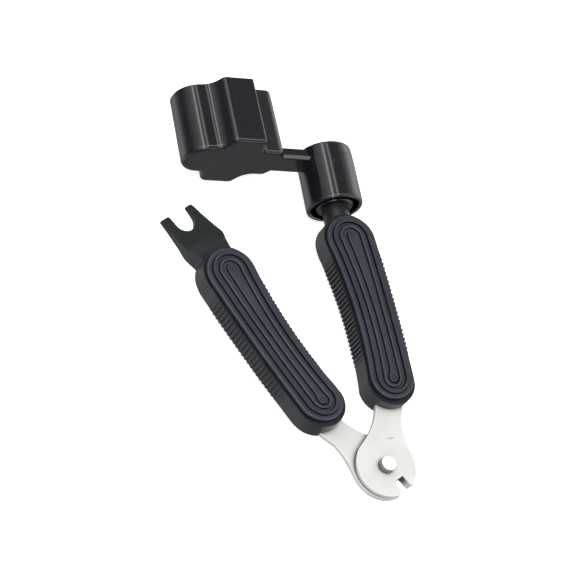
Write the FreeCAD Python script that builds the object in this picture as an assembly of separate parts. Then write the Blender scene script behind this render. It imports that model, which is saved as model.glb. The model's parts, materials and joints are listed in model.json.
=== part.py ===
import FreeCAD, Part
import math
import os

os.makedirs("parts", exist_ok=True)
V = FreeCAD.Vector

# ---------------------------------------------------------------------------
# Guitar string winder: a plier-like tool with three uses.
#   * a crank with a lobed peg socket turns the tuning machine buttons
#   * two steel plates with a notch shear the string ends
#   * a forked handle lifts bridge pins
# Everything is drawn first in the pivot frame: pivot axis on x = y = 0 along
# +Z, y towards the crank hub along the winder handle, z = 0 close to the end
# face of the pivot rivet.  The last step moves it so that the origin is the
# centre of the underside of the bounding box.
# ---------------------------------------------------------------------------

# ---- final placing of the pivot frame (mm)
OX, OY, OZ = 23.320, -62.147, 15.890

# ---- opening angle of the drawn pose and crank angle out of the handle plane
PULLER_ANGLE = 30.19      # puller handle, mirrored winder handle turned by this
CRANK_ANGLE = 4.58        # crank about the hub axis

# ---- grip, common to both handles (x, y of the winder handle)
GRIP_TOP = (3.05, 80.9)
GRIP_BOT = (6.95, 30.2)
CL_A, CL_B, CL_C = 4.757, 0.129, -0.001854      # centre line x = A + B y + C y^2
HALF_W = [(30.2, 8.25), (36.0, 8.05), (44.0, 7.95), (52.0, 7.95), (58.0, 8.05),
          (66.0, 8.32), (73.0, 8.68), (80.9, 9.15)]
PAD_T = 1.2               # pad plate
RIDGE_H = 0.62            # height of the grip ridges over the pad plate
PAD_Z = 2.3               # front face of the front pad plates
PAD_IN = 0.42             # pad outline inside the nominal grip half width
PAD_Y0, PAD_Y1 = 29.35, 80.45                   # centres of the pad's round ends
PAD_TRIM = 1.2            # flattening of the pad's lower outer corner
CAP_SPREAD = 0.12         # the loops lie closer together round the ends
CORE_T = 8.3              # handle core between the pads
RIDGES = [(1.92, 3.02), (4.42, 5.50)]           # raised loops, inset from the pad edge
TRENCH_W, TRENCH_D = 0.27, 0.30                 # fine trench on both sides of each ridge
PAD_STEP = 0.24           # core stands out past the pad edge
CORE_END = 1.3            # extra length of the core at the blade end
END_BULGE = 1.05          # fullness of the lower end towards the other handle
SEAT = 0.45               # shadow gap below each pad
RIB_PITCH, RIB_W, RIB_H = 1.58, 0.86, 0.46
RIB_Y0, RIB_Y1 = 37.0, 78.0

# ---- blades
BLADE_T = 1.79
BLADE_GAP = 0.03
FRONT_TOP = -2.85         # front face of the front blade
BLADE_R = 10.65           # round end
BLADE_CX = 0.35
TANG_CLEAR = 0.03

# ---- pivot rivet
RIVET_R = 2.55
RIVET_TOP = 0.05
RIVET_HEAD_R = 4.2
RIVET_HEAD_T = 1.3

# ---- spindle, hub, arm, socket
HUB_X, HUB_Z = 2.62, -4.05
HUB_Y0, HUB_Y1 = 94.7, 116.4
HUB_R0, HUB_R1 = 9.75, 9.45
HUB_LINE_Y, HUB_LINE_R = 111.75, 9.66   # moulding line
HUB_RIM_R, HUB_FOOT_R = 1.4, 1.1
HUB_BORE_R = 8.3          # groove between the hub wall and the inner boss
BOSS_R, BOSS_Y0 = 6.4, 95.0
NECK_R = 4.6
NECK_Y1 = 94.93
JOURNAL_R = 3.6
JOURNAL_Y1 = 109.62
RUN_CLEAR = 0.05
WEB_Y0, WEB_Y1 = 101.40, 109.55
COUNTERBORE_R = 6.3
ARM_Y0, ARM_Y1 = 110.45, 115.0
ARM_HALF, ARM_LIP, ARM_LIP_Y = 4.05, 4.85, 112.0      # upper part, wider lip along the lower edge, top of the lip
HEAD_Y0, HEAD_Y1 = 110.45, 135.1
HEAD_DRAFT = 0.35
HEAD_WALL = 2.2
HEAD_FLOOR = 2.6
HEAD_FOOT_R, HEAD_RIM_R = 1.55, 0.4
# socket section: (X from the hub axis, Z, corner radius); the front has its soft step on the left, the back on the right
HEAD = [(-54.2, 8.2, 7.9), (-44.1, 8.6, 5.0), (-41.4, 14.4, 2.2), (-29.9, 14.4, 1.1), (-27.3, 7.9, 1.3),
        (-20.6, 7.7, 3.0), (-17.7, 3.6, 1.0),
        (-17.7, -3.6, 1.0), (-20.6, -8.0, 3.0), (-27.0, -8.2, 5.0), (-29.9, -14.4, 2.2), (-41.2, -14.4, 1.9),
        (-43.7, -8.6, 1.3), (-54.2, -8.3, 7.9)]


def interp(tab, y):
    if y <= tab[0][0]:
        return tab[0][1]
    for (y0, v0), (y1, v1) in zip(tab, tab[1:]):
        if y <= y1:
            t = (y - y0) / (y1 - y0)
            t = t * t * (3 - 2 * t) * 0.35 + t * 0.65
            return v0 + (v1 - v0) * t
    return tab[-1][1]


def centre(y):
    return CL_A + CL_B * y + CL_C * y * y


def slope(y):
    return CL_B + 2 * CL_C * y


def normal(y):
    s = slope(y)
    n = math.hypot(1.0, s)
    return (1.0 / n, -s / n)


def bulge(t):
    """The lower end of the grip is a little fuller on the side of the other handle."""
    return END_BULGE * math.sin(math.pi * t) * (1 - t) ** 2


def loop_points(inset, nside=15, ncap=11):
    """Closed list of points of the pad outline moved inwards by inset."""
    pts = []
    y0, y1 = PAD_Y0, PAD_Y1
    ys = [y0 + (y1 - y0) * i / nside for i in range(nside + 1)]
    # outer side, going up
    for y in ys:
        n = normal(y)
        w = interp(HALF_W, y) - PAD_IN - inset
        pts.append((centre(y) + n[0] * w, y + n[1] * w))
    # top cap
    a0 = math.atan2(normal(y1)[1], normal(y1)[0])
    w = interp(HALF_W, y1) - PAD_IN - inset
    for i in range(1, ncap):
        a = a0 + math.pi * i / ncap
        k = w + CAP_SPREAD * max(0.0, inset) * math.sin(math.pi * i / ncap)
        pts.append((centre(y1) + k * math.cos(a), y1 + k * math.sin(a)))
    for y in reversed(ys):
        n = normal(y)
        w = interp(HALF_W, y) - PAD_IN - inset
        pts.append((centre(y) - n[0] * w, y - n[1] * w))
    a0 = math.atan2(-normal(y0)[1], -normal(y0)[0])
    w = interp(HALF_W, y0) - PAD_IN - inset
    for i in range(1, ncap):
        a = a0 + math.pi * i / ncap
        t = i / ncap
        k = w + CAP_SPREAD * max(0.0, inset) * math.sin(math.pi * t) - PAD_TRIM * math.sin(math.pi * t) * t * t
        pts.append((centre(y0) + k * math.cos(a), y0 + k * math.sin(a)))
    return pts


def spline_face(pts, z):
    c = Part.BSplineCurve()
    c.interpolate(Points=[V(x, y, z) for x, y in pts], PeriodicFlag=True)
    return Part.Face(Part.Wire([c.toShape()]))


def slab(pts, z0, z1):
    return spline_face(pts, z0).extrude(V(0, 0, z1 - z0))


def poly_face(pts, z=0.0, plane="xy"):
    if plane == "xy":
        vs = [V(x, y, z) for x, y in pts]
    else:                                   # pts are (y, z) pairs at x = z argument
        vs = [V(z, y, zz) for y, zz in pts]
    vs.append(vs[0])
    return Part.Face(Part.makePolygon(vs))


def fillet(shape, radius, pick):
    es = [e for e in shape.Edges if pick(e)]
    if not es:
        return shape
    try:
        s = shape.makeFillet(radius, es)
        if s.isValid() and s.Volume > 0:
            return s
    except Exception:
        pass
    return shape


def clean(shape):
    try:
        s = shape.removeSplitter()
        if s.isValid() and abs(s.Volume - shape.Volume) < 0.5:
            return s
    except Exception:
        pass
    return shape


def flat_edge(e, axis, value, tol=1e-4):
    b = e.BoundBox
    lo, hi = {"x": (b.XMin, b.XMax), "y": (b.YMin, b.YMax), "z": (b.ZMin, b.ZMax)}[axis]
    return abs(lo - value) < tol + 0.02 and abs(hi - value) < tol + 0.02


def rounded(verts):
    """Closed wire in the X, Z plane at y = 0 from (x, z, radius) corners."""
    n = len(verts)
    edges, last, first = [], None, None
    for i in range(n):
        p = verts[i]
        a = verts[i - 1]
        b = verts[(i + 1) % n]
        u = V(a[0] - p[0], 0, a[1] - p[1]); la = u.Length; u.normalize()
        w = V(b[0] - p[0], 0, b[1] - p[1]); lb = w.Length; w.normalize()
        ang = math.acos(max(-1, min(1, u.dot(w))))
        t = p[2] / math.tan(ang / 2)
        P = V(p[0], 0, p[1])
        A, B = P + u * t, P + w * t
        bis = (u + w); bis.normalize()
        C = P + bis * (p[2] / math.sin(ang / 2))
        M = C - bis * p[2]
        if last is not None:
            edges.append(Part.LineSegment(last, A).toShape())
        else:
            first = A
        edges.append(Part.Arc(A, M, B).toShape())
        last = B
    edges.append(Part.LineSegment(last, first).toShape())
    return Part.Wire(edges)


def head_verts(inset):
    """Socket section moved inwards by inset."""
    full = HEAD
    n = len(full)
    out = []
    for i in range(n):
        x, z, r = full[i]
        ax, az, _ = full[i - 1]
        bx, bz, _ = full[(i + 1) % n]
        d1 = V(x - ax, 0, z - az); d1.normalize()
        d2 = V(bx - x, 0, bz - z); d2.normalize()
        # the outline runs clockwise seen along +Y, so inwards is to one side
        n1 = V(d1.z, 0, -d1.x)
        n2 = V(d2.z, 0, -d2.x)
        m = n1 + n2
        m.normalize()
        k = inset / max(0.3, m.dot(n1))
        cross = d1.x * d2.z - d1.z * d2.x
        rr = r - inset if cross < 0 else r + inset
        out.append((x + m.x * k, z + m.z * k, max(0.55, rr)))
    return out


def head_wire(inset, y):
    w = rounded(head_verts(inset))
    w.translate(V(HUB_X, y, HUB_Z))
    return w


# ---------------------------------------------------------------------------
# grip pads
# ---------------------------------------------------------------------------
def island_points(grow=0.0):
    """Centre island: wide round start at the top, thin bar, round boss at the end."""
    pts = []
    prof = [(28.9, 1.45), (30.4, 1.25), (32.0, 0.72), (35.0, 0.66), (44.0, 0.66),
            (54.0, 0.70), (62.0, 0.85), (68.0, 1.00), (74.0, 1.20), (81.4, 1.40)]
    ys = [28.9, 30.1, 31.5, 33.3, 37.0, 42.0, 48.0, 54.0, 60.0, 66.0, 72.0, 77.5, 81.4]
    for y in ys:
        n = normal(y); w = interp(prof, y) + grow
        pts.append((centre(y) + n[0] * w, y + n[1] * w))
    r = 1.40 + grow
    a0 = math.atan2(normal(81.4)[1], normal(81.4)[0])
    for i in range(1, 7):
        a = a0 + math.pi * i / 7
        pts.append((centre(81.4) + r * math.cos(a), 81.4 + r * math.sin(a)))
    for y in reversed(ys):
        n = normal(y); w = interp(prof, y) + grow
        pts.append((centre(y) - n[0] * w, y - n[1] * w))
    r = 1.45 + grow
    a0 = math.atan2(-normal(28.9)[1], -normal(28.9)[0])
    for i in range(1, 7):
        a = a0 + math.pi * i / 7
        pts.append((centre(28.9) + r * math.cos(a), 28.9 + r * math.sin(a)))
    return pts


def make_pad():
    plate = slab(loop_points(0.0), -PAD_T, 0.0)
    plate = fillet(plate, 0.45, lambda e: flat_edge(e, "z", 0.0))
    solids = []
    for a, b in RIDGES:
        trench = slab(loop_points(a - TRENCH_W), -TRENCH_D, 0.5).cut(slab(loop_points(b + TRENCH_W), -0.9, 1.0))
        plate = plate.cut(trench)
        ring = slab(loop_points(a), -0.6, RIDGE_H).cut(slab(loop_points(b), -0.9, RIDGE_H + 0.5))
        ring = fillet(ring, 0.38, lambda e: flat_edge(e, "z", RIDGE_H))
        solids.append(ring)
    plate = plate.cut(slab(island_points(TRENCH_W), -TRENCH_D, 0.5))
    isl = slab(island_points(), -0.6, RIDGE_H)
    isl = fillet(isl, 0.30, lambda e: flat_edge(e, "z", RIDGE_H))
    solids.append(isl)
    pad = clean(plate.fuse(solids))
    # shallow moulded ring marks on the island ends
    for (cx, cy, r) in ((centre(81.2), 81.2, 0.85), (centre(28.9), 28.9, 0.85)):
        ring = Part.makeCylinder(r, 0.12, V(cx, cy, RIDGE_H - 0.10))
        ring = ring.cut(Part.makeCylinder(r - 0.22, 0.12, V(cx, cy, RIDGE_H - 0.10)))
        pad = pad.cut(ring)
    return pad


# ---------------------------------------------------------------------------
# handle core without its end features
# ---------------------------------------------------------------------------
def band_face(z):
    """Core outline with a row of small square ribs along both sides."""
    n_rib = int((RIB_Y1 - RIB_Y0) / RIB_PITCH)

    def side_pt(y, side, h):
        n = normal(y)
        w = interp(HALF_W, y) + PAD_STEP + h
        return (centre(y) + side * n[0] * w, y + side * n[1] * w)

    rows = {}
    for side in (1, -1):
        pts = []
        for i in range(n_rib):
            y = RIB_Y0 + i * RIB_PITCH
            fade = min(1.0, (i + 1) / 3.0, (n_rib - i) / 3.0)
            for dy, h in ((0.0, 0.0), (0.12, RIB_H * fade), (RIB_W - 0.12, RIB_H * fade), (RIB_W, 0.0)):
                pts.append(side_pt(y + dy, side, h))
        rows[side] = pts

    def spl(pts):
        c = Part.BSplineCurve()
        c.interpolate([V(x, y, z) for x, y in pts])
        return c.toShape()

    # upper end, from the outer side over the top to the inner side
    up = [rows[1][-1]] + [side_pt(y, 1, 0.0) for y in (79.6, GRIP_TOP[1])]
    y1 = GRIP_TOP[1]
    a0 = math.atan2(normal(y1)[1], normal(y1)[0])
    w = interp(HALF_W, y1) + PAD_STEP
    up += [(centre(y1) + w * math.cos(a0 + math.pi * i / 11), y1 + w * math.sin(a0 + math.pi * i / 11)) for i in range(1, 11)]
    up += [side_pt(y, -1, 0.0) for y in (GRIP_TOP[1], 79.6)] + [rows[-1][-1]]
    # lower end
    y0 = GRIP_BOT[1]
    dn = [rows[-1][0]] + [side_pt(y, -1, 0.0) for y in (33.5, y0)]
    a0 = math.atan2(-normal(y0)[1], -normal(y0)[0])
    w = interp(HALF_W, y0) + PAD_STEP
    for i in range(1, 11):
        k = w + CORE_END * math.sin(math.pi * i / 11) + bulge(i / 11)
        dn.append((centre(y0) + k * math.cos(a0 + math.pi * i / 11), y0 + k * math.sin(a0 + math.pi * i / 11)))
    dn += [side_pt(y, 1, 0.0) for y in (y0, 33.5)] + [rows[1][0]]
    edges = []
    r = rows[1]
    edges += [Part.LineSegment(V(r[i][0], r[i][1], z), V(r[i + 1][0], r[i + 1][1], z)).toShape() for i in range(len(r) - 1)]
    edges.append(spl(up))
    r = rows[-1][::-1]
    edges += [Part.LineSegment(V(r[i][0], r[i][1], z), V(r[i + 1][0], r[i + 1][1], z)).toShape() for i in range(len(r) - 1)]
    edges.append(spl(dn))
    return Part.Face(Part.Wire(edges))


def make_core(end_feature):
    """Seat for the pads, the end feature of this handle, then the wider ribbed band."""
    za, zb = PAD_Z - PAD_T, PAD_Z - PAD_T - CORE_T
    band = band_face(zb + SEAT).extrude(V(0, 0, CORE_T - 2 * SEAT))
    seat = slab(loop_points(0.55), za, zb)
    return seat.fuse(end_feature).fuse(band)


def pad_gap():
    """Space kept free round both pads, used to nest the handle ends against them."""
    pts = loop_points(-0.10)
    front = slab(pts, PAD_Z - PAD_T, PAD_Z + 3.0)
    rear = slab(pts, PAD_Z - PAD_T - CORE_T, PAD_Z - PAD_T - CORE_T - 4.0)
    return front.fuse(rear)


# ---------------------------------------------------------------------------
# blades
# ---------------------------------------------------------------------------
TANG_END = 60.0
LEFT_PTS = [(-6.95, 7.88), (-4.85, 10.2), (-2.8, 12.75), (-1.05, 15.6), (0.45, 19.0), (1.45, 23.0), (1.95, 28.0)]
RIGHT_PTS = [(11.3, 28.0), (11.25, 24.0), (10.5, 19.4), (9.45, 16.3), (9.0, 13.5), (9.1, 10.4), (9.6, 7.4),
             (10.2, 4.6), (10.82, 1.9)]
NOTCH = [(2.55, -5.05), (5.35, -3.55), (7.45, -6.65), (8.9, -6.95), (14.5, -9.0), (4.4, -16.0), (3.45, -10.2),
         (3.25, -8.3), (2.75, -6.9)]


def blade_face(z, grow=0.0):
    def sp(pts):
        c = Part.BSplineCurve()
        c.interpolate([V(x, y, z) for x, y in pts])
        return c.toShape()
    left = [(x - grow, y) for x, y in LEFT_PTS]
    right = [(x + grow, y) for x, y in RIGHT_PTS]
    a = Part.Arc(V(right[-1][0], right[-1][1], z), V(BLADE_CX, -BLADE_R - grow, z), V(left[0][0], left[0][1], z)).toShape()
    e = [a, sp(left)]
    p = [V(left[-1][0], left[-1][1], z), V(2.6 - grow, TANG_END + grow, z), V(10.0 + grow, TANG_END + grow, z),
         V(right[0][0], right[0][1], z)]
    e += [Part.LineSegment(p[i], p[i + 1]).toShape() for i in range(3)]
    e.append(sp(right))
    return Part.Face(Part.Wire(e))


def make_blade(z_low, hole_r, notch):
    b = blade_face(z_low).extrude(V(0, 0, BLADE_T))
    b = b.cut(Part.makeCylinder(hole_r, BLADE_T + 2, V(0, 0, z_low - 1)))
    n = poly_face(notch, z_low - 1).extrude(V(0, 0, BLADE_T + 2))
    b = b.cut(n)
    # round off the stamped edge a little on both faces
    b = fillet(b, 0.12, lambda e: (flat_edge(e, "z", z_low) or flat_edge(e, "z", z_low + BLADE_T)) and e.Length > 6.0
               and e.BoundBox.YMax < 30)
    # two key holes in the hidden tang
    for y in (38.0, 52.0):
        b = b.cut(Part.makeCylinder(1.6, BLADE_T + 2, V(6.4, y, z_low - 1)))
    return b


def tang_pocket(z_low):
    p = blade_face(z_low - TANG_CLEAR, TANG_CLEAR).extrude(V(0, 0, BLADE_T + 2 * TANG_CLEAR))
    pegs = []
    for y in (38.0, 52.0):
        pegs.append(Part.makeCylinder(1.6 - TANG_CLEAR, BLADE_T + 2, V(6.4, y, z_low - 1)))
    return p.cut(pegs[0]).cut(pegs[1])


# ---------------------------------------------------------------------------
# winder handle
# ---------------------------------------------------------------------------
def axis_cyl(r, y0, y1):
    return Part.makeCylinder(r, y1 - y0, V(HUB_X, y0, HUB_Z), V(0, 1, 0))


def make_winder_core():
    neck = axis_cyl(NECK_R, 84.0, NECK_Y1)
    journal = axis_cyl(JOURNAL_R, NECK_Y1 - 1, JOURNAL_Y1)
    spindle = neck.fuse(journal).cut(pad_gap())
    core = make_core(spindle)
    core = core.cut(axis_cyl(1.5, JOURNAL_Y1 - 10.5, JOURNAL_Y1 + 1))
    return core.cut(tang_pocket(FRONT_TOP - BLADE_T))


# ---------------------------------------------------------------------------
# crank: hub, arm and lobed peg socket in one moulding
# ---------------------------------------------------------------------------
def make_hub():
    """Solid of revolution: rounded rims and a fine moulding line, above it a little more draft."""
    def at(r, y):
        return V(HUB_X + r, y, HUB_Z)

    def line(a, b):
        return Part.LineSegment(at(*a), at(*b)).toShape()

    def corner(a, b, c):
        return Part.Arc(at(*a), at(*b), at(*c)).toShape()
    k = math.sqrt(0.5)
    r0, r1, rl, rc = HUB_R0, HUB_R1, HUB_LINE_R, HUB_RIM_R
    y0, y1, yl, rb = HUB_Y0, HUB_Y1, HUB_LINE_Y, HUB_FOOT_R
    e = [line((0, y0), (r0 - rb, y0)),
         corner((r0 - rb, y0), (r0 - rb + rb * k, y0 + rb - rb * k), (r0, y0 + rb)),
         line((r0, y0 + rb), (rl, yl - 0.16)),
         line((rl, yl - 0.16), (rl - 0.14, yl)),
         line((rl - 0.14, yl), (rl - 0.03, yl + 0.16)),
         line((rl - 0.03, yl + 0.16), (r1, y1 - rc)),
         corner((r1, y1 - rc), (r1 - rc + rc * k, y1 - rc + rc * k), (r1 - rc, y1)),
         line((r1 - rc, y1), (0, y1)),
         line((0, y1), (0, y0))]
    f = Part.Face(Part.Wire(e))
    return f.revolve(V(HUB_X, 0, HUB_Z), V(0, 1, 0), 360)


def make_head():
    """Lobed cup: rounded foot, slightly drafted wall, rounded mouth edge."""
    def taper(y):
        return HEAD_DRAFT * (y - HEAD_Y0) / (HEAD_Y1 - HEAD_Y0)

    def quarter(r, y_flat, sign, n):
        rows = []
        for i in range(n + 1):
            a = math.pi / 2 * i / n
            y = y_flat + sign * r * (1 - math.cos(a))
            rows.append((r * (1 - math.sin(a)) + taper(y), y))
        return rows

    def body(rows, ruled):
        return Part.makeLoft([head_wire(i, y) for i, y in rows], True, ruled)
    foot_rows = quarter(HEAD_FOOT_R, HEAD_Y0, 1, 6)
    rim_rows = quarter(HEAD_RIM_R, HEAD_Y1, -1, 3)
    foot = body(foot_rows, False)
    if not foot.isValid() or foot.Volume <= 0:
        foot = body(foot_rows, True)
    wall = body([foot_rows[-1], rim_rows[-1]], True)
    rim = body(rim_rows[::-1], True)
    head = foot.fuse(wall).fuse(rim)
    head = clean(head)
    cav = Part.makeLoft([head_wire(HEAD_WALL + HEAD_DRAFT + 0.2, HEAD_Y0 + HEAD_FLOOR),
                         head_wire(HEAD_WALL + HEAD_DRAFT - 0.15, HEAD_Y1 + 0.5)], True, True)
    return head.cut(cav)


def make_crank():
    hub = make_hub()
    side = [(ARM_Y1, ARM_HALF - 0.3), (ARM_Y1 - 0.3, ARM_HALF), (ARM_LIP_Y + 0.12, ARM_HALF), (ARM_LIP_Y, ARM_LIP - 0.1),
            (ARM_LIP_Y - 0.12, ARM_LIP), (ARM_Y0 + 0.35, ARM_LIP - 0.45), (ARM_Y0 + 0.08, ARM_LIP - 0.65), (ARM_Y0, ARM_LIP - 0.95)]
    pts = [(y, HUB_Z + z) for y, z in side] + [(y, HUB_Z - z) for y, z in reversed(side)]
    arm = poly_face(pts, HUB_X - 19.5, "yz").extrude(V(18.5, 0, 0))
    head = make_head()
    crank = hub.fuse([arm, head])
    crank = crank.cut(axis_cyl(COUNTERBORE_R, WEB_Y1, HUB_Y1 + 2))
    cup = axis_cyl(HUB_BORE_R, HUB_Y0 - 2, WEB_Y0)
    mouth = Part.makeCone(HUB_BORE_R + 0.4, HUB_BORE_R - 0.05, 0.45, V(HUB_X, HUB_Y0 - 0.01, HUB_Z), V(0, 1, 0))
    boss = axis_cyl(BOSS_R, BOSS_Y0 + 0.3, WEB_Y0 + 1)
    lead = Part.makeCone(BOSS_R - 0.3, BOSS_R, 0.3, V(HUB_X, BOSS_Y0, HUB_Z), V(0, 1, 0))
    crank = crank.cut(cup).cut(mouth).fuse(boss).fuse(lead)
    crank = crank.cut(axis_cyl(JOURNAL_R + RUN_CLEAR, BOSS_Y0 - 1, WEB_Y1 + 1))
    crank.rotate(V(HUB_X, 0, HUB_Z), V(0, 1, 0), CRANK_ANGLE)
    return crank


def make_washer():
    w = axis_cyl(5.9, JOURNAL_Y1, JOURNAL_Y1 + 0.8)
    return w.cut(axis_cyl(1.6, JOURNAL_Y1 - 1, JOURNAL_Y1 + 2))


def make_screw():
    y = JOURNAL_Y1 + 0.8
    head = axis_cyl(2.9, y, y + 2.1)
    head = fillet(head, 0.6, lambda e: flat_edge(e, "y", y + 2.1))
    shank = axis_cyl(1.47, JOURNAL_Y1 - 9.5, y + 0.2)
    s = head.fuse(shank)
    for a in (0, 90):
        slot = Part.makeBox(3.2, 1.3, 0.7, V(-1.6, 0, -0.35))
        slot.rotate(V(0, 0, 0), V(0, 1, 0), a + 20)
        slot.translate(V(HUB_X, y + 1.1, HUB_Z))
        s = s.cut(slot)
    return clean(s)


# ---------------------------------------------------------------------------
# puller handle with its fork (drawn mirrored, like the winder handle)
# ---------------------------------------------------------------------------
FORK_OUT = [(-4.1, 84.0), (-4.15, 88.2), (-4.35, 89.6), (-4.95, 91.4), (-6.2, 93.3), (-6.9, 94.8), (-6.85, 96.3),
            (-6.4, 98.6), (-5.95, 101.0), (-5.5, 104.0), (-5.2, 106.6), (-4.8, 108.15)]
FORK_GAP_R = 3.6
FORK_GAP_C = (1.55, 104.05)
FORK_IN = [(9.15, 108.55), (9.1, 106.5), (8.95, 103.8), (8.75, 101.0), (8.6, 98.6), (8.65, 96.3), (8.75, 94.6),
           (8.45, 92.6), (8.0, 90.8), (7.7, 89.4), (7.85, 87.8), (8.0, 84.0)]
# side view (y, z): front and back faces of the neck and the wedge
FORK_TOP = [(80.0, -0.35), (89.4, -0.35), (91.0, -0.5), (92.4, -1.05), (94.4, -2.3), (95.8, -2.85), (97.4, -3.1),
            (109.5, -4.1)]
FORK_BACK = [(109.5, -4.75), (104.0, -5.25), (99.0, -6.35), (95.8, -6.95), (92.5, -7.35), (90.0, -7.5), (80.0, -7.5)]


def make_fork():
    def sp(pts):
        c = Part.BSplineCurve()
        c.interpolate([V(x, y, -12) for x, y in pts])
        return c.toShape()
    a, b = FORK_OUT[-1], FORK_IN[0]
    e = [sp(FORK_OUT), Part.LineSegment(V(a[0], a[1], -12), V(b[0], b[1], -12)).toShape(), sp(FORK_IN),
         Part.LineSegment(V(FORK_IN[-1][0], FORK_IN[-1][1], -12), V(FORK_OUT[0][0], FORK_OUT[0][1], -12)).toShape()]
    plan = Part.Face(Part.Wire(e)).extrude(V(0, 0, 14))
    # slot for the pin: half-round end and parallel sides
    slot = Part.makeCylinder(FORK_GAP_R, 16, V(0, 0, -13))
    slot = slot.fuse(Part.makeBox(2 * FORK_GAP_R, 12, 16, V(-FORK_GAP_R, 0, -13)))
    slot.translate(V(FORK_GAP_C[0], FORK_GAP_C[1], 0))
    plan = plan.cut(slot)
    # soften the tine corners in plan
    plan = fillet(plan, 0.55, lambda e: e.BoundBox.ZLength > 13 and e.BoundBox.XLength < 0.01
                  and e.BoundBox.YMin > 107.0)
    def sp2(pts):
        c = Part.BSplineCurve()
        c.interpolate([V(-20, y, z) for y, z in pts])
        return c.toShape()
    top = [Part.LineSegment(V(-20, FORK_TOP[0][0], FORK_TOP[0][1]), V(-20, FORK_TOP[1][0], FORK_TOP[1][1])).toShape(),
           sp2(FORK_TOP[1:7]),
           Part.LineSegment(V(-20, FORK_TOP[6][0], FORK_TOP[6][1]), V(-20, FORK_TOP[7][0], FORK_TOP[7][1])).toShape()]
    end = Part.LineSegment(V(-20, FORK_TOP[-1][0], FORK_TOP[-1][1]), V(-20, FORK_BACK[0][0], FORK_BACK[0][1])).toShape()
    back = [sp2(FORK_BACK[:6]),
            Part.LineSegment(V(-20, FORK_BACK[5][0], FORK_BACK[5][1]), V(-20, FORK_BACK[6][0], FORK_BACK[6][1])).toShape()]
    close = Part.LineSegment(V(-20, FORK_BACK[6][0], FORK_BACK[6][1]), V(-20, FORK_TOP[0][0], FORK_TOP[0][1])).toShape()
    prof = Part.Face(Part.Wire(top + [end] + back + [close])).extrude(V(40, 0, 0))
    return plan.common(prof)


def make_puller_core():
    core = make_core(make_fork().cut(pad_gap()))
    return core.cut(tang_pocket(FRONT_TOP - 2 * BLADE_T - BLADE_GAP))


def to_puller(s):
    m = s.mirror(V(0, 0, 0), V(1, 0, 0))
    m.rotate(V(0, 0, 0), V(0, 0, 1), PULLER_ANGLE)
    return m


# ---------------------------------------------------------------------------
# pivot rivet
# ---------------------------------------------------------------------------
def make_rivet():
    z_back = FRONT_TOP - 2 * BLADE_T - BLADE_GAP
    shank = Part.makeCylinder(RIVET_R, RIVET_TOP - z_back + 0.5, V(0, 0, z_back - 0.5))
    shank = fillet(shank, 0.28, lambda e: flat_edge(e, "z", RIVET_TOP))
    head = Part.makeCylinder(RIVET_HEAD_R, RIVET_HEAD_T, V(0, 0, z_back - 0.03 - RIVET_HEAD_T))
    head = fillet(head, 0.7, lambda e: flat_edge(e, "z", z_back - 0.03 - RIVET_HEAD_T))
    return clean(shank.fuse(head))


def notch_for_rear():
    """The rear plate's notch lines up with the front one in the drawn pose."""
    out = []
    a = math.radians(-PULLER_ANGLE)
    for x, y in NOTCH:
        xr = x * math.cos(a) - y * math.sin(a)
        yr = x * math.sin(a) + y * math.cos(a)
        out.append((-xr, yr))
    return out


# ---------------------------------------------------------------------------
# build and write
# ---------------------------------------------------------------------------
def rear_of(pad):
    return pad.mirror(V(0, 0, PAD_Z - PAD_T - CORE_T / 2), V(0, 0, 1))


pad = make_pad()
pad.translate(V(0, 0, PAD_Z))
nodes = {}
nodes["winder_handle_core"] = make_winder_core()
nodes["winder_pad_front"] = pad
nodes["winder_pad_rear"] = rear_of(pad)
nodes["front_blade"] = make_blade(FRONT_TOP - BLADE_T, RIVET_R + 0.02, NOTCH)
nodes["pivot_rivet"] = make_rivet()
nodes["spindle_washer"] = make_washer()
nodes["spindle_screw"] = make_screw()
nodes["crank"] = make_crank()
nodes["puller_handle_core"] = to_puller(make_puller_core())
nodes["puller_pad_front"] = to_puller(pad)
nodes["puller_pad_rear"] = to_puller(rear_of(pad))
nodes["rear_blade"] = to_puller(make_blade(FRONT_TOP - 2 * BLADE_T - BLADE_GAP, RIVET_R + RUN_CLEAR, notch_for_rear()))

box = None
for name, s in nodes.items():
    s = s.copy()
    s.translate(V(OX, OY, OZ))
    solids = s.Solids
    if len(solids) == 1:
        s = solids[0]
    b = s.BoundBox
    print("%-22s solids %d valid %s vol %.1f  x %.2f %.2f  y %.2f %.2f  z %.2f %.2f" % (
        name, len(solids), s.isValid(), s.Volume, b.XMin, b.XMax, b.YMin, b.YMax, b.ZMin, b.ZMax))
    s.exportStep("parts/%s.step" % name)
    box = b if box is None else box.united(b)
print("box x %.2f %.2f  y %.2f %.2f  z %.2f %.2f" % (box.XMin, box.XMax, box.YMin, box.YMax, box.ZMin, box.ZMax))
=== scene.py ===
import json
import math

import bpy
from mathutils import Matrix, Vector


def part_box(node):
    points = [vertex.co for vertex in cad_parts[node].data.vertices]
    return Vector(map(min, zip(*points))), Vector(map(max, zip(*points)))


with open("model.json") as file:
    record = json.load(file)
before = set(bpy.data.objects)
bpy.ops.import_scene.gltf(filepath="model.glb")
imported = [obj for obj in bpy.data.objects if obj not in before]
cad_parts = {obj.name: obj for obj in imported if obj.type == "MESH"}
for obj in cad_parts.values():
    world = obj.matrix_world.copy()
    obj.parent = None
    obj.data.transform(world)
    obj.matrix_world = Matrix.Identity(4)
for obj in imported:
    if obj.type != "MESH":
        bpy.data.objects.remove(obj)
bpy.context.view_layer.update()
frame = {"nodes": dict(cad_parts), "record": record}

scene = bpy.context.scene
scene.view_settings.view_transform = "Standard"
scene.view_settings.look = "None"

# ---------------------------------------------------------------------------
# places in the row frame, in metres
# ---------------------------------------------------------------------------
joint_at = {j["name"]: Vector(j["pos_m"]) for j in frame["record"]["behaviour"]["joints"]}
PIVOT = joint_at["puller_pivot"]
SPINDLE = joint_at["crank_spin"]


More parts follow.
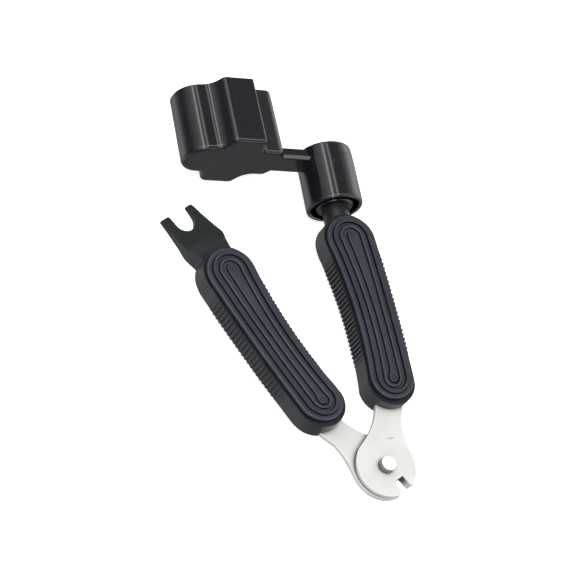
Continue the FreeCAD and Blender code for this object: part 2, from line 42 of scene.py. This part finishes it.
def centre_of(node):
    low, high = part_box(node)
    return (Vector(low) + Vector(high)) / 2


# ---------------------------------------------------------------------------
# node helpers
# ---------------------------------------------------------------------------
class Graph:
    """Short names for building a material's node tree."""

    def __init__(self, name):
        self.mat = bpy.data.materials.new(name)
        self.mat.use_nodes = True
        self.t = self.mat.node_tree
        self.t.nodes.clear()
        self.out = self.t.nodes.new("ShaderNodeOutputMaterial")
        self.pos = self.t.nodes.new("ShaderNodeTexCoord").outputs["Object"]

    def node(self, kind, **props):
        n = self.t.nodes.new(kind)
        for k, v in props.items():
            setattr(n, k, v)
        return n

    def link(self, a, b):
        self.t.links.new(a, b)

    def put(self, socket, value):
        if isinstance(value, bpy.types.NodeSocket):
            self.link(value, socket)
        else:
            socket.default_value = value

    def math(self, op, a, b=0.0, clamp=False):
        n = self.node("ShaderNodeMath", operation=op, use_clamp=clamp)
        self.put(n.inputs[0], a)
        self.put(n.inputs[1], b)
        return n.outputs[0]

    def vmath(self, op, a, b=(0, 0, 0)):
        n = self.node("ShaderNodeVectorMath", operation=op)
        self.put(n.inputs[0], a)
        self.put(n.inputs[1], b)
        return n

    def mapping(self, scale=(1, 1, 1), loc=(0, 0, 0), rot=(0, 0, 0), vec=None):
        n = self.node("ShaderNodeMapping")
        self.link(vec or self.pos, n.inputs["Vector"])
        n.inputs["Scale"].default_value = scale
        n.inputs["Location"].default_value = loc
        n.inputs["Rotation"].default_value = rot
        return n.outputs[0]

    def noise(self, scale, detail=3.0, rough=0.5, vec=None, distort=0.0):
        n = self.node("ShaderNodeTexNoise")
        self.link(vec or self.pos, n.inputs["Vector"])
        n.inputs["Scale"].default_value = scale
        n.inputs["Detail"].default_value = detail
        n.inputs["Roughness"].default_value = rough
        n.inputs["Distortion"].default_value = distort
        return n.outputs["Fac"]

    def ranged(self, value, a, b, lo, hi, smooth=False):
        n = self.node("ShaderNodeMapRange")
        if smooth:
            n.interpolation_type = "SMOOTHSTEP"
        self.put(n.inputs["Value"], value)
        n.inputs["From Min"].default_value = a
        n.inputs["From Max"].default_value = b
        n.inputs["To Min"].default_value = lo
        n.inputs["To Max"].default_value = hi
        return n.outputs["Result"]

    def ramp(self, value, stops):
        n = self.node("ShaderNodeValToRGB")
        self.put(n.inputs["Fac"], value)
        e = n.color_ramp.elements
        while len(e) < len(stops):
            e.new(0.5)
        for item, (p, c) in zip(e, stops):
            item.position = p
            item.color = (*c, 1.0)
        return n.outputs["Color"]

    def mix(self, fac, a, b):
        n = self.node("ShaderNodeMix", data_type="RGBA")
        self.put(n.inputs[0], fac)
        self.put(n.inputs[6], a if isinstance(a, bpy.types.NodeSocket) else (*a, 1.0))
        self.put(n.inputs[7], b if isinstance(b, bpy.types.NodeSocket) else (*b, 1.0))
        return n.outputs[2]

    def bump(self, height, distance, strength=1.0, normal=None):
        n = self.node("ShaderNodeBump")
        n.inputs["Strength"].default_value = strength
        n.inputs["Distance"].default_value = distance
        self.link(height, n.inputs["Height"])
        if normal is not None:
            self.link(normal, n.inputs["Normal"])
        return n.outputs["Normal"]

    def crevice_shade(self, reach, low, high, floor):
        """Painted-shade mask from ambient occlusion: 1 on open faces, down to floor in grooves and corners narrower
        than reach.
        """
        ao = self.node("ShaderNodeAmbientOcclusion", samples=8)
        ao.inputs["Distance"].default_value = reach
        return self.ranged(ao.outputs["AO"], low, high, floor, 1.0)

    def upright(self):
        """1 on faces that stand square to the plates, 0 on their flat sides."""
        geo = self.node("ShaderNodeNewGeometry")
        sep = self.node("ShaderNodeSeparateXYZ")
        self.link(geo.outputs["True Normal"], sep.inputs[0])
        return self.ranged(self.math("ABSOLUTE", sep.outputs["Z"]), 0.2, 0.8, 1.0, 0.0)

    def principled(self, **values):
        n = self.node("ShaderNodeBsdfPrincipled")
        for k, v in values.items():
            s = n.inputs[k.replace("_", " ")]
            if isinstance(v, tuple) and len(v) == 3 and s.type == "RGBA":
                v = (*v, 1.0)
            self.put(s, v)
        self.link(n.outputs[0], self.out.inputs["Surface"])
        return n


# ---------------------------------------------------------------------------
# materials
# ---------------------------------------------------------------------------
def satin_plastic(name, dark, light, rough=(0.42, 0.56), grain=9.0e-6, scuffs=0.25, sheen=0.5):
    """Moulded black plastic: spark-eroded grain, slow tone changes, a few scuffs."""
    g = Graph(name)
    cloud = g.noise(70.0, 4.0, 0.55)
    fine = g.noise(5200.0, 2.0, 0.6)
    mid = g.noise(1300.0, 3.0, 0.55)
    tone = g.ranged(cloud, 0.3, 0.7, 0.0, 1.0)
    colour = g.mix(tone, dark, light)
    speck = g.node("ShaderNodeTexVoronoi", feature="F1")
    g.link(g.pos, speck.inputs["Vector"])
    speck.inputs["Scale"].default_value = 420.0
    dust = g.ranged(speck.outputs["Distance"], 0.035, 0.06, 1.0, 0.0)
    sparse = g.ranged(g.noise(160.0, 1.0), 0.56, 0.62, 0.0, 0.35)
    dust = g.math("MULTIPLY", dust, sparse)
    colour = g.mix(dust, colour, (0.16, 0.16, 0.165))
    # hairline scuffs, stretched along the tool
    streak = g.noise(1.0, 4.0, 0.6, g.mapping((2600.0, 150.0, 900.0), rot=(0, 0, 0.35)))
    streak = g.ranged(streak, 0.66, 0.74, 0.0, scuffs)
    r = g.ranged(mid, 0.3, 0.7, rough[0], rough[1])
    r = g.math("ADD", r, g.math("MULTIPLY", streak, 0.25), clamp=True)
    h = g.math("ADD", g.math("MULTIPLY", fine, 0.7), g.math("MULTIPLY", mid, 0.6))
    n = g.bump(h, grain)
    # painted shade: grooves and narrow corners darkened towards black and their sheen taken away, by ambient
    # occlusion
    painted_groove_shade = g.crevice_shade(0.0009, 0.42, 0.86, 0.08)
    colour = g.mix(painted_groove_shade, (0.002, 0.002, 0.0025), colour)
    g.principled(Base_Color=colour, Roughness=r, Normal=n, IOR=1.5,
                 Specular_IOR_Level=g.math("MULTIPLY", painted_groove_shade, sheen))
    return g.mat


def gloss_plastic(name):
    """Polished black moulding: faint sink waves, hairlines, a little dust."""
    g = Graph(name)
    tone = g.ranged(g.noise(55.0, 3.0), 0.3, 0.7, 0.0, 1.0)
    colour = g.mix(tone, (0.0026, 0.0031, 0.0042), (0.0044, 0.0050, 0.0064))
    speck = g.node("ShaderNodeTexVoronoi", feature="F1")
    g.link(g.pos, speck.inputs["Vector"])
    speck.inputs["Scale"].default_value = 330.0
    dust = g.ranged(speck.outputs["Distance"], 0.03, 0.055, 1.0, 0.0)
    dust = g.math("MULTIPLY", dust, g.ranged(g.noise(140.0, 1.0), 0.58, 0.63, 0.0, 0.6))
    colour = g.mix(dust, colour, (0.22, 0.22, 0.23))
    hair = g.noise(1.0, 5.0, 0.65, g.mapping((2400.0, 110.0, 1800.0), rot=(0.2, 0.1, 0.25)))
    hair = g.ranged(hair, 0.64, 0.72, 0.0, 1.0)
    r = g.ranged(g.noise(260.0, 4.0, 0.6), 0.3, 0.7, 0.085, 0.13)
    r = g.math("ADD", r, g.math("MULTIPLY", hair, 0.03))
    r = g.math("ADD", r, g.math("MULTIPLY", dust, 0.5), clamp=True)
    n = g.bump(g.noise(85.0, 2.0, 0.5), 1.6e-5)
    g.principled(Base_Color=colour, Roughness=r, Normal=n, IOR=1.52)
    return g.mat


def nickel_plate(name, turn, stain=None):
    """Pale nickel-plated stamping: fine brushing along the plate, soft tarnish."""
    g = Graph(name)
    along = g.mapping((5200.0, 160.0, 3000.0), rot=(0, 0, turn))
    brush = g.noise(1.0, 5.0, 0.6, along)
    cloud = g.noise(95.0, 5.0, 0.6)
    warm = g.noise(48.0, 3.0, 0.5)
    base = g.mix(g.ranged(cloud, 0.3, 0.7, 0.0, 1.0), (0.650, 0.642, 0.615), (0.700, 0.692, 0.668))
    base = g.mix(g.ranged(warm, 0.5, 0.75, 0.0, 0.25), base, (0.650, 0.630, 0.580))
    pits = g.node("ShaderNodeTexVoronoi", feature="F1")
    g.link(g.pos, pits.inputs["Vector"])
    pits.inputs["Scale"].default_value = 620.0
    pit = g.ranged(pits.outputs["Distance"], 0.05, 0.09, 1.0, 0.0)
    pit = g.math("MULTIPLY", pit, g.ranged(g.noise(210.0, 1.0), 0.55, 0.62, 0.0, 0.35))
    base = g.mix(pit, base, (0.42, 0.39, 0.34))
    if stain is not None:
        # a thin brown mark across the plate
        (cx, cy), (half_l, half_w), ang = stain
        p = g.mapping(loc=(-cx, -cy, 0))
        q = g.node("ShaderNodeVectorRotate", rotation_type="Z_AXIS")
        g.link(p, q.inputs["Vector"])
        q.inputs["Angle"].default_value = -ang
        s = g.vmath("MULTIPLY", q.outputs[0], (1 / half_l, 1 / half_w, 0.0))
        wob = g.ranged(g.noise(900.0, 3.0), 0.2, 0.8, -0.45, 0.45)
        d = g.vmath("LENGTH", s.outputs[0]).outputs["Value"]
        m = g.ranged(g.math("ADD", d, wob), 0.35, 1.15, 0.62, 0.0, smooth=True)
        base = g.mix(m, base, (0.36, 0.23, 0.13))
    # painted shade: hollows and corners of the plates darkened towards dark warm grey by ambient occlusion
    base = g.mix(g.crevice_shade(0.0022, 0.35, 0.80, 0.0), (0.085, 0.075, 0.060), base)
    # cut edges are duller; painted shade: edge faces deep in the notch and in other narrow hollows darkened to near
    # black
    edge = g.upright()
    base = g.mix(g.math("MULTIPLY", edge, 0.45), base, (0.24, 0.23, 0.215))
    notch_painted_shade = g.math("SUBTRACT", 1.0, g.crevice_shade(0.0042, 0.62, 0.97, 0.0))
    base = g.mix(g.math("MULTIPLY", edge, notch_painted_shade), base, (0.030, 0.025, 0.016))
    rough = g.ranged(brush, 0.3, 0.7, 0.38, 0.50)
    rough = g.math("ADD", rough, g.ranged(cloud, 0.4, 0.8, 0.0, 0.07))
    h = g.math("ADD", g.math("MULTIPLY", brush, 0.8), g.math("MULTIPLY", g.noise(2600.0, 2.0), 0.5))
    n = g.bump(h, 1.6e-6)
    g.principled(Base_Color=base, Metallic=0.6, Roughness=rough, Normal=n)
    return g.mat


def turned_steel(name, centre, axis, base=(0.82, 0.82, 0.82), rough=(0.10, 0.2), pitch=0.00028, metal=1.0):
    """Bright plated steel with faint turning rings about an axis."""
    g = Graph(name)
    p = g.vmath("SUBTRACT", g.pos, tuple(centre)).outputs[0]
    flat = g.vmath("MULTIPLY", p, tuple(1.0 - abs(a) for a in axis)).outputs[0]
    r = g.vmath("LENGTH", flat).outputs["Value"]
    rings = g.math("SINE", g.math("MULTIPLY", r, 2 * math.pi / pitch))
    mott = g.noise(420.0, 4.0, 0.6)
    col = g.mix(g.ranged(mott, 0.3, 0.7, 0.0, 1.0), base, tuple(c * 0.9 for c in base))
    # painted shade: hollows and corners darkened towards near black by ambient occlusion
    col = g.mix(g.crevice_shade(0.0022, 0.38, 0.90, 0.0), (0.05, 0.048, 0.045), col)
    # painted shade: on the less metallic rivet, faces square to the plates (its side wall) are darkened to near
    # black
    if metal < 1.0:
        col = g.mix(g.math("MULTIPLY", g.upright(), 0.93), col, (0.045, 0.045, 0.045))
    ro = g.ranged(g.noise(900.0, 3.0), 0.3, 0.7, rough[0], rough[1])
    h = g.math("ADD", g.math("MULTIPLY", rings, 0.25), g.math("MULTIPLY", mott, 0.5))
    n = g.bump(h, 5.0e-7 * metal ** 2)
    g.principled(Base_Color=col, Metallic=metal, Roughness=ro, Normal=n)
    return g.mat


pad_mat = satin_plastic("grip_pad_plastic", (0.012, 0.0135, 0.020), (0.019, 0.021, 0.030), (0.34, 0.46), 5.0e-6, 0.2)
core_mat = satin_plastic("handle_core_plastic", (0.006, 0.0075, 0.008), (0.011, 0.013, 0.0145), (0.30, 0.42), 7.0e-6, 0.3, 0.32)
crank_mat = gloss_plastic("crank_gloss_plastic")
front_steel = nickel_plate("front_blade_nickel", 0.05, stain=((0.02727, -0.05227), (0.0019, 0.0004), 0.15))
rear_steel = nickel_plate("rear_blade_nickel", 0.5)
rivet_mat = turned_steel("rivet_turned", PIVOT, (0, 0, 1), base=(0.84, 0.84, 0.84), rough=(0.24, 0.28), metal=0.35)
washer_mat = turned_steel("washer_turned", SPINDLE, (0, 1, 0), rough=(0.16, 0.3))
screw_mat = turned_steel("screw_turned", SPINDLE, (0, 1, 0), base=(0.74, 0.74, 0.75), rough=(0.14, 0.26))

LOOKS = {
    "winder_handle_core": core_mat, "puller_handle_core": core_mat,
    "winder_pad_front": pad_mat, "winder_pad_rear": pad_mat,
    "puller_pad_front": pad_mat, "puller_pad_rear": pad_mat,
    "front_blade": front_steel, "rear_blade": rear_steel,
    "pivot_rivet": rivet_mat, "spindle_washer": washer_mat, "spindle_screw": screw_mat,
    "crank": crank_mat,
}
for node, mat in LOOKS.items():
    ob = frame["nodes"][node]
    for s in ob.material_slots:
        s.material = mat

# ---------------------------------------------------------------------------
# camera: fitted to the view, about 54 degrees above the table, rolled
# ---------------------------------------------------------------------------
RIGHT = Vector((0.90470166, -0.18756182, 0.38253819))
UP = Vector((-0.00123114, 0.89672607, 0.44258428))
BACK = Vector((-0.42604388, -0.4008777, 0.81103865))
PX_MM = 3.09
F_PX = 1000.0 / 0.33
OFF = (389.4112 - 288.0, -(462.7044 - 288.0))
PIVOT_O = Vector((0.023320, -0.062147, 0.015890))
eye = (RIGHT * -OFF[0] + UP * -OFF[1] + BACK * F_PX) * (0.001 / PX_MM) + PIVOT_O
cam_data = bpy.data.cameras.new("camera")
cam_data.sensor_fit = "HORIZONTAL"
cam_data.sensor_width = 36.0
cam_data.lens = F_PX / 576.0 * 36.0
cam_data.clip_start = 0.01
cam_data.clip_end = 50.0
cam = bpy.data.objects.new("camera", cam_data)
cam.matrix_world = Matrix((
    (RIGHT.x, UP.x, BACK.x, eye.x),
    (RIGHT.y, UP.y, BACK.y, eye.y),
    (RIGHT.z, UP.z, BACK.z, eye.z),
    (0, 0, 0, 1)))
scene.collection.objects.link(cam)
scene.camera = cam

# ---------------------------------------------------------------------------
# pale floor that curves up far away
# ---------------------------------------------------------------------------
def make_floor():
    rings, segs = [], 96
    prof = [(0.0, -0.0003)]
    for r in (0.1, 0.25, 0.5, 1.0, 1.6, 2.2, 3.0):
        prof.append((r, -0.0003))
    for i in range(1, 17):
        a = math.pi / 2 * i / 16
        prof.append((3.0 + 1.3 * math.sin(a), -0.0003 + 1.3 * (1 - math.cos(a))))
    verts = [(0, 0, prof[0][1])]
    faces = []
    for r, z in prof[1:]:
        start = len(verts)
        for k in range(segs):
            t = 2 * math.pi * k / segs
            verts.append((r * math.cos(t), r * math.sin(t), z))
        rings.append(start)
    for k in range(segs):
        faces.append((0, rings[0] + k, rings[0] + (k + 1) % segs))
    for a, b in zip(rings, rings[1:]):
        for k in range(segs):
            faces.append((a + k, b + k, b + (k + 1) % segs, a + (k + 1) % segs))
    me = bpy.data.meshes.new("floor")
    me.from_pydata(verts, [], faces)
    me.polygons.foreach_set("use_smooth", [True] * len(me.polygons))
    me.update()
    ob = bpy.data.objects.new("floor", me)
    scene.collection.objects.link(ob)
    g = Graph("floor_paper")
    tone = g.ranged(g.noise(6.0, 3.0), 0.3, 0.7, 0.0, 1.0)
    col = g.mix(tone, (0.86, 0.86, 0.86), (0.885, 0.885, 0.885))
    d = g.node("ShaderNodeBsdfDiffuse")
    g.link(col, d.inputs["Color"])
    e = g.node("ShaderNodeEmission")
    g.link(col, e.inputs["Color"])
    e.inputs["Strength"].default_value = 0.62
    a = g.node("ShaderNodeAddShader")
    g.link(d.outputs[0], a.inputs[0])
    g.link(e.outputs[0], a.inputs[1])
    g.link(a.outputs[0], g.out.inputs["Surface"])
    me.materials.append(g.mat)
    ob.visible_glossy = False
    return ob


make_floor()

# ---------------------------------------------------------------------------
# soft studio light: a tent whose brightness depends on the angle round +Y, with two narrow strip lights in it
# ---------------------------------------------------------------------------
TENT = [(-180, 0.30), (-160, 0.60), (-146, 1.10), (-134, 0.80), (-118, 0.40), (-101, 0.20), (-86, 0.20), (-68, 0.60),
        (-48, 1.10), (-29, 1.70), (-26.5, 5.6), (-22, 5.6), (-19.5, 1.25), (-9, 1.00), (-6, 3.6), (-2.5, 3.6), (1, 0.55),
        (8, 0.38), (24, 0.40), (38, 0.38), (46, 0.70), (60, 1.05), (74, 1.9), (88, 2.1), (104, 1.2), (126, 0.60),
        (150, 0.30), (180, 0.30)]
TOP = 6.0

world = bpy.data.worlds.new("world")
scene.world = world
world.use_nodes = True
wt = world.node_tree
wt.nodes.clear()
wo = wt.nodes.new("ShaderNodeOutputWorld")
bg = wt.nodes.new("ShaderNodeBackground")
tc = wt.nodes.new("ShaderNodeTexCoord")
sep = wt.nodes.new("ShaderNodeSeparateXYZ")
ang = wt.nodes.new("ShaderNodeMath")
ang.operation = "ARCTAN2"
mr = wt.nodes.new("ShaderNodeMapRange")
wr = wt.nodes.new("ShaderNodeValToRGB")
wt.links.new(tc.outputs["Generated"], sep.inputs[0])
wt.links.new(sep.outputs["X"], ang.inputs[0])
wt.links.new(sep.outputs["Z"], ang.inputs[1])
wt.links.new(ang.outputs[0], mr.inputs["Value"])
mr.inputs["From Min"].default_value = -math.pi
mr.inputs["From Max"].default_value = math.pi
wt.links.new(mr.outputs["Result"], wr.inputs["Fac"])
el = wr.color_ramp.elements
while len(el) < len(TENT):
    el.new(0.5)
for item, (deg, value) in zip(el, TENT):
    item.position = (deg + 180.0) / 360.0
    v = value / TOP
    item.color = (v * 0.985, v, v * 1.02, 1.0)
# a soft strip across, overhead and a little to the front, which lights edges that turn towards -Y
across = wt.nodes.new("ShaderNodeValToRGB")
mry = wt.nodes.new("ShaderNodeMapRange")
mry.inputs["From Min"].default_value = -1.0
mry.inputs["From Max"].default_value = 1.0
wt.links.new(sep.outputs["Y"], mry.inputs["Value"])
wt.links.new(mry.outputs["Result"], across.inputs["Fac"])
ACROSS = [(-1.0, 0.0), (-0.46, 0.0), (-0.34, 1.0), (-0.06, 1.0), (0.06, 0.0)]
el = across.color_ramp.elements
while len(el) < len(ACROSS):
    el.new(0.5)
for item, (y, v) in zip(el, ACROSS):
    item.position = (y + 1.0) / 2.0
    item.color = (v, v, v, 1.0)
gate = wt.nodes.new("ShaderNodeMapRange")
gate.inputs["From Min"].default_value = 0.55
gate.inputs["From Max"].default_value = 0.75
gate.inputs["To Min"].default_value = 0.0
gate.inputs["To Max"].default_value = 2.6 / TOP
wt.links.new(sep.outputs["Z"], gate.inputs["Value"])
strip = wt.nodes.new("ShaderNodeMath")
strip.operation = "MULTIPLY"
wt.links.new(across.outputs["Color"], strip.inputs[0])
wt.links.new(gate.outputs["Result"], strip.inputs[1])
total = wt.nodes.new("ShaderNodeVectorMath")
total.operation = "ADD"
wt.links.new(wr.outputs["Color"], total.inputs[0])
wt.links.new(strip.outputs[0], total.inputs[1])
wt.links.new(total.outputs[0], bg.inputs["Color"])
bg.inputs["Strength"].default_value = TOP
wt.links.new(bg.outputs[0], wo.inputs["Surface"])
